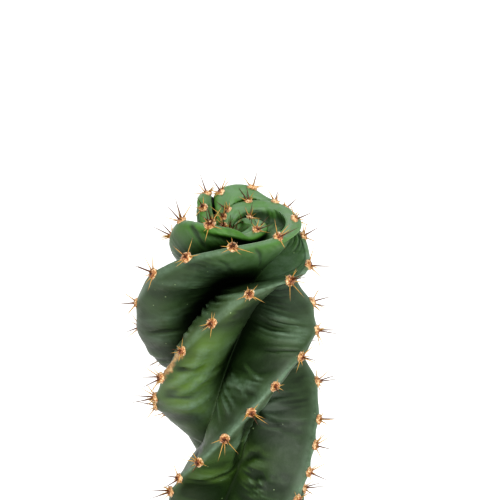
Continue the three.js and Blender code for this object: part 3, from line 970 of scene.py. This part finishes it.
def spine_pattern(bm, length_layer):
    """Adds a straight spine of length 1 and radius 1 to an empty bmesh, to be copied."""
    bmesh.ops.create_cone(bm, cap_ends=True, segments=SPINE_SIDES, radius1=1, radius2=0.12, depth=1)
    upright = [e for e in bm.edges if abs(e.verts[0].co.z - e.verts[1].co.z) > 0.5]
    bmesh.ops.subdivide_edges(bm, edges=upright, cuts=SPINE_PIECES - 1, use_grid_fill=True)
    for vert in bm.verts:
        vert.co.z += 0.5
        share = vert.co.z
        vert[length_layer] = share
        # A spine keeps most of its thickness until half way, and its foot is a little bulbous
        swell = 1 + 0.7 * share * (1 - share) + 0.35 * rise(0.15, 0.0, share)
        vert.co.x *= swell
        vert.co.y *= swell
    return [*bm.verts, *bm.edges, *bm.faces]


def spread(out, along, around, lean):
    """A way that leans from out, and the flat way, around from along, to which it leans."""
    flat = along * math.cos(around) + out.cross(along) * math.sin(around)
    return out * math.cos(lean) + flat * math.sin(lean), flat


def copy_spine(bm, pattern, foot, way, length, radius, bend):
    """Copies the pattern to a foot, in millimetres, so that it points one way and curves a little."""
    axes = way.to_track_quat("Z", "Y").to_matrix()
    for part in bmesh.ops.duplicate(bm, geom=pattern)["geom"]:
        if isinstance(part, bmesh.types.BMVert):
            share = part.co.z
            shape = Vector((part.co.x * radius + bend * share * share, part.co.y * radius, share * length))
            part.co = foot + axes @ shape


class CACTUS_OT_spines(bpy.types.Operator):
    """Sets the felted areoles along the crests, each with its radial and central spines"""
    bl_idname = "cactus.spines"
    bl_label = "Areoles and spines"

    def execute(self, context):
        settings = context.scene.cactus_spines
        stem = bpy.data.objects.get("stem_skin")
        if stem is None:
            raise RuntimeError("The areoles sit on the stem's skin: make the stem first")
        skin_mesh = bmesh.new()
        skin_mesh.from_mesh(stem.data)
        surface = BVHTree.FromBMesh(skin_mesh)
        skin_mesh.free()
        draw = random.Random(SPINE_SEED)
        cushions, tufts, radials, centrals = bmesh.new(), bmesh.new(), bmesh.new(), bmesh.new()
        self.core = cushions.verts.layers.float.new("core")
        self.tuft_core = tufts.verts.layers.float.new("core")
        hair = self.hair_pattern(tufts)
        patterns = [spine_pattern(bm, bm.verts.layers.float.new("length")) for bm in (radials, centrals)]
        for rib in range(4):
            for turn in areole_turns(rib):
                crest, out, along = areole_axes(turn, rib)
                hit = surface.ray_cast((crest + 9 * out) * MM, -out, 20 * MM)[0]
                foot = hit / MM if hit else crest
                size = mix(1, 0.72, rise(-20, 90, turn)) * draw.uniform(0.9, 1.06)
                self.cushion(cushions, foot, out, along, size * settings.felt_radius / MM)
                armament = self.armament(size, settings, draw)
                for bm, pattern, spines in zip((radials, centrals), patterns, armament):
                    for around, lean, stand, length, radius in spines:
                        way, flat = spread(out, along, around, lean)
                        base = foot + flat * stand * size + out * 0.4
                        bend = draw.uniform(-SPINE_BEND, SPINE_BEND)
                        copy_spine(bm, pattern, base, way, length, radius, bend)
                self.wool(tufts, hair, foot, out, along, size * settings.felt_radius / MM, draw)
        for _ in range(TIP_BRISTLES):
            foot = skin(draw.uniform(60, 140), draw.uniform(0, 4))
            way = Vector((draw.gauss(0, 0.45), draw.gauss(0, 0.45), 1)).normalized()
            length = draw.uniform(3, 7)
            bend = draw.uniform(-SPINE_BEND, SPINE_BEND)
            copy_spine(centrals, patterns[1], foot, way, length, BRISTLE_RADIUS, bend)
        for bm, pattern in ((radials, patterns[0]), (centrals, patterns[1]), (tufts, hair)):
            bmesh.ops.delete(bm, geom=[part for part in pattern if isinstance(part, bmesh.types.BMVert)])
        wool = felt()
        for bm, name, material in (
            (cushions, "areole_felt", wool),
            (tufts, "areole_wool", wool),
            (radials, "radial_spines", horn("Amber spine horn", "#6e3d20", "#b58e4c", "#5e3a1c")),
            (centrals, "central_spines", horn("Dark spine horn", "#8a5a30", "#5a3823", "#2e1c15")),
        ):
            bmesh.ops.scale(bm, vec=(MM, MM, MM), verts=bm.verts)
            finish_piece(bm, name, material)
        return {"FINISHED"}

    def cushion(self, bm, foot, out, along, radius):
        """A lumpy dome of matted wool, sunk a little into the crest."""
        side = out.cross(along)
        axes = Matrix((along, side, out)).transposed().to_4x4()
        made = bmesh.ops.create_icosphere(bm, subdivisions=3, radius=1)
        for vert in made["verts"]:
            vert[self.core] = 0.7 * clamp(vert.co.z) ** 4
            lumps = 1 + 0.22 * noise.noise(vert.co * 2.2 + foot) + 0.3 * noise.noise(vert.co * 4.5 + foot)
            shape = Vector((vert.co.x * radius * 1.05, vert.co.y * radius * 0.92, vert.co.z * radius * 0.62))
            vert.co = foot + axes @ (shape * lumps)

    def hair_pattern(self, bm):
        """One straight tuft of wool, of length 1 and radius 1, to be copied."""
        bmesh.ops.create_cone(bm, cap_ends=True, segments=3, radius1=1, radius2=0.1, depth=1)
        bmesh.ops.translate(bm, vec=(0, 0, 0.5), verts=bm.verts)
        return [*bm.verts, *bm.edges, *bm.faces]

    def wool(self, bm, hair, foot, out, along, radius, draw):
        """Short tufts of wool, which stand out of the cushion on every side."""
        for _ in range(WOOL_TUFTS):
            around = draw.uniform(0, math.tau)
            lean = math.acos(draw.uniform(0.1, 1))
            way, flat = spread(out, along, around, lean)
            base = foot + (out * 0.45 * math.cos(lean) + flat * 0.75 * math.sin(lean)) * radius
            way = (way + 0.5 * Vector((draw.gauss(0, 1), draw.gauss(0, 1), draw.gauss(0, 1)))).normalized()
            axes = way.to_track_quat("Z", "Y").to_matrix()
            length = draw.uniform(0.7, 1.5)
            shade = 0.6 * draw.random() ** 2
            for part in bmesh.ops.duplicate(bm, geom=hair)["geom"]:
                if isinstance(part, bmesh.types.BMVert):
                    part[self.tuft_core] = shade * (1 - 0.6 * part.co.z)
                    shape = Vector((part.co.x * TUFT_RADIUS, part.co.y * TUFT_RADIUS, part.co.z * length))
                    part.co = base + axes @ shape

    def armament(self, size, settings, draw):
        """An areole's radials and centrals: way round, lean, distance from the middle, length and radius."""
        count = settings.radial_count + draw.choice((-1, -1, 0, 0, 1))
        start = draw.uniform(0, math.tau)
        radials, centrals = [], []
        for n in range(count):
            around = start + math.tau * n / count + draw.uniform(-0.7, 0.7)
            length = size * settings.radial_length / MM * draw.choice((0.5, 0.7, 0.9, 1.05, 1.3))
            lean = math.radians(draw.uniform(36, 84))
            radials.append((around, lean, 0.8, length, settings.spine_radius / MM * draw.uniform(0.8, 1.05)))
        for n in range(draw.choice((1, 1, 2))):
            length = size * settings.central_length / MM * draw.uniform(0.8, 1.08)
            lean = math.radians(draw.uniform(4, 26))
            centrals.append((draw.uniform(0, math.tau), lean, 0.4, length, 1.15 * settings.spine_radius / MM))
        return radials, centrals


# The photographed view: the picture is 500 pixels wide, and a pixel is 0.42 mm at the stem's axis
PIXEL_MM = 0.42
CAMERA_DISTANCE_MM = 750
CAMERA_RISE_DEG = 15
CAMERA_AIM_MM = (7.56, 0, 315)
SENSOR_MM = 36
PICTURE_PIXELS = 500
LIGHT_SPREAD_DEG = 50


class CACTUS_OT_stage(bpy.types.Operator):
    """Lays the pale floor, hangs the soft lights and sets the camera"""
    bl_idname = "cactus.stage"
    bl_label = "Stage"

    def execute(self, context):
        settings = context.scene.cactus_stage
        scene = context.scene
        bm = bmesh.new()
        bmesh.ops.create_circle(bm, cap_ends=True, segments=96, radius=settings.floor_size / 2)
        mesh = bpy.data.meshes.new("floor")
        bm.to_mesh(mesh)
        bm.free()
        material, tree, shader = new_material("Matt white paper")
        feed(tree, shader, {"Base Color": paint("#fafaf9"), "Roughness": 0.9, "Specular IOR Level": 0.1})
        mesh.materials.append(material)
        floor = bpy.data.objects.new("floor", mesh)
        scene.collection.objects.link(floor)
        self.broad_light("skylight", (0.15, -0.6, 1), settings.daylight)
        self.broad_light("front_light", (0.26, -1, 0.08), settings.front_light)
        self.broad_light("back_light", (-0.35, 0.9, 0.5), settings.back_light)
        world = bpy.data.worlds.new("pale_room")
        world.use_nodes = True
        background = world.node_tree.nodes["Background"]
        feed(world.node_tree, background, {"Color": (1, 1, 1, 1), "Strength": settings.room_light})
        scene.world = world
        scene.view_settings.view_transform = "Standard"
        scene.view_settings.look = "High Contrast"
        scene.view_settings.exposure = -0.03
        self.camera(scene)
        return {"FINISHED"}

    def broad_light(self, name, way, strength):
        data = bpy.data.lights.new(name, "SUN")
        data.energy = strength
        data.angle = math.radians(LIGHT_SPREAD_DEG)
        light = bpy.data.objects.new(name, data)
        light.rotation_euler = Vector(way).to_track_quat("Z", "Y").to_euler()
        bpy.context.scene.collection.objects.link(light)

    def camera(self, scene):
        data = bpy.data.cameras.new("camera")
        data.sensor_width = SENSOR_MM
        data.lens = SENSOR_MM * CAMERA_DISTANCE_MM / (PIXEL_MM * PICTURE_PIXELS)
        data.clip_end = 100
        camera = bpy.data.objects.new("camera", data)
        rise_angle = math.radians(CAMERA_RISE_DEG)
        back = Vector((0, -math.cos(rise_angle), math.sin(rise_angle))) * CAMERA_DISTANCE_MM
        camera.location = (Vector(CAMERA_AIM_MM) + back) * MM
        camera.rotation_euler = (math.pi / 2 - rise_angle, 0, 0)
        scene.collection.objects.link(camera)
        scene.camera = camera


class CACTUS_PT_panel(bpy.types.Panel):
    bl_label = "Potted spiral cactus"
    bl_space_type = "VIEW_3D"
    bl_region_type = "UI"
    bl_category = "Cactus"

    def draw(self, context):
        for operator, settings, _ in STEPS:
            box = self.layout.box()
            box.operator(operator.bl_idname)
            group = getattr(context.scene, settings)
            for name in group.bl_rna.properties.keys():
                if name not in ("rna_type", "name"):
                    box.prop(group, name)


STEPS = (
    (CACTUS_OT_stage, "cactus_stage", StageSettings),
    (CACTUS_OT_pot, "cactus_pot", PotSettings),
    (CACTUS_OT_soil, "cactus_soil", SoilSettings),
    (CACTUS_OT_stem, "cactus_stem", StemSettings),
    (CACTUS_OT_spines, "cactus_spines", SpineSettings),
)
CLASSES = (*(group for _, _, group in STEPS), *(operator for operator, _, _ in STEPS), CACTUS_PT_panel)


def register():
    for cls in CLASSES:
        bpy.utils.register_class(cls)
    for _, name, group in STEPS:
        setattr(bpy.types.Scene, name, PointerProperty(type=group))


def unregister():
    for _, name, _ in STEPS:
        delattr(bpy.types.Scene, name)
    for cls in reversed(CLASSES):
        bpy.utils.unregister_class(cls)


def main():
    register()
    bpy.ops.cactus.stage()
    bpy.ops.cactus.pot()
    bpy.ops.cactus.soil()
    bpy.ops.cactus.stem()
    bpy.ops.cactus.spines()


if __name__ == "__main__":
    main()
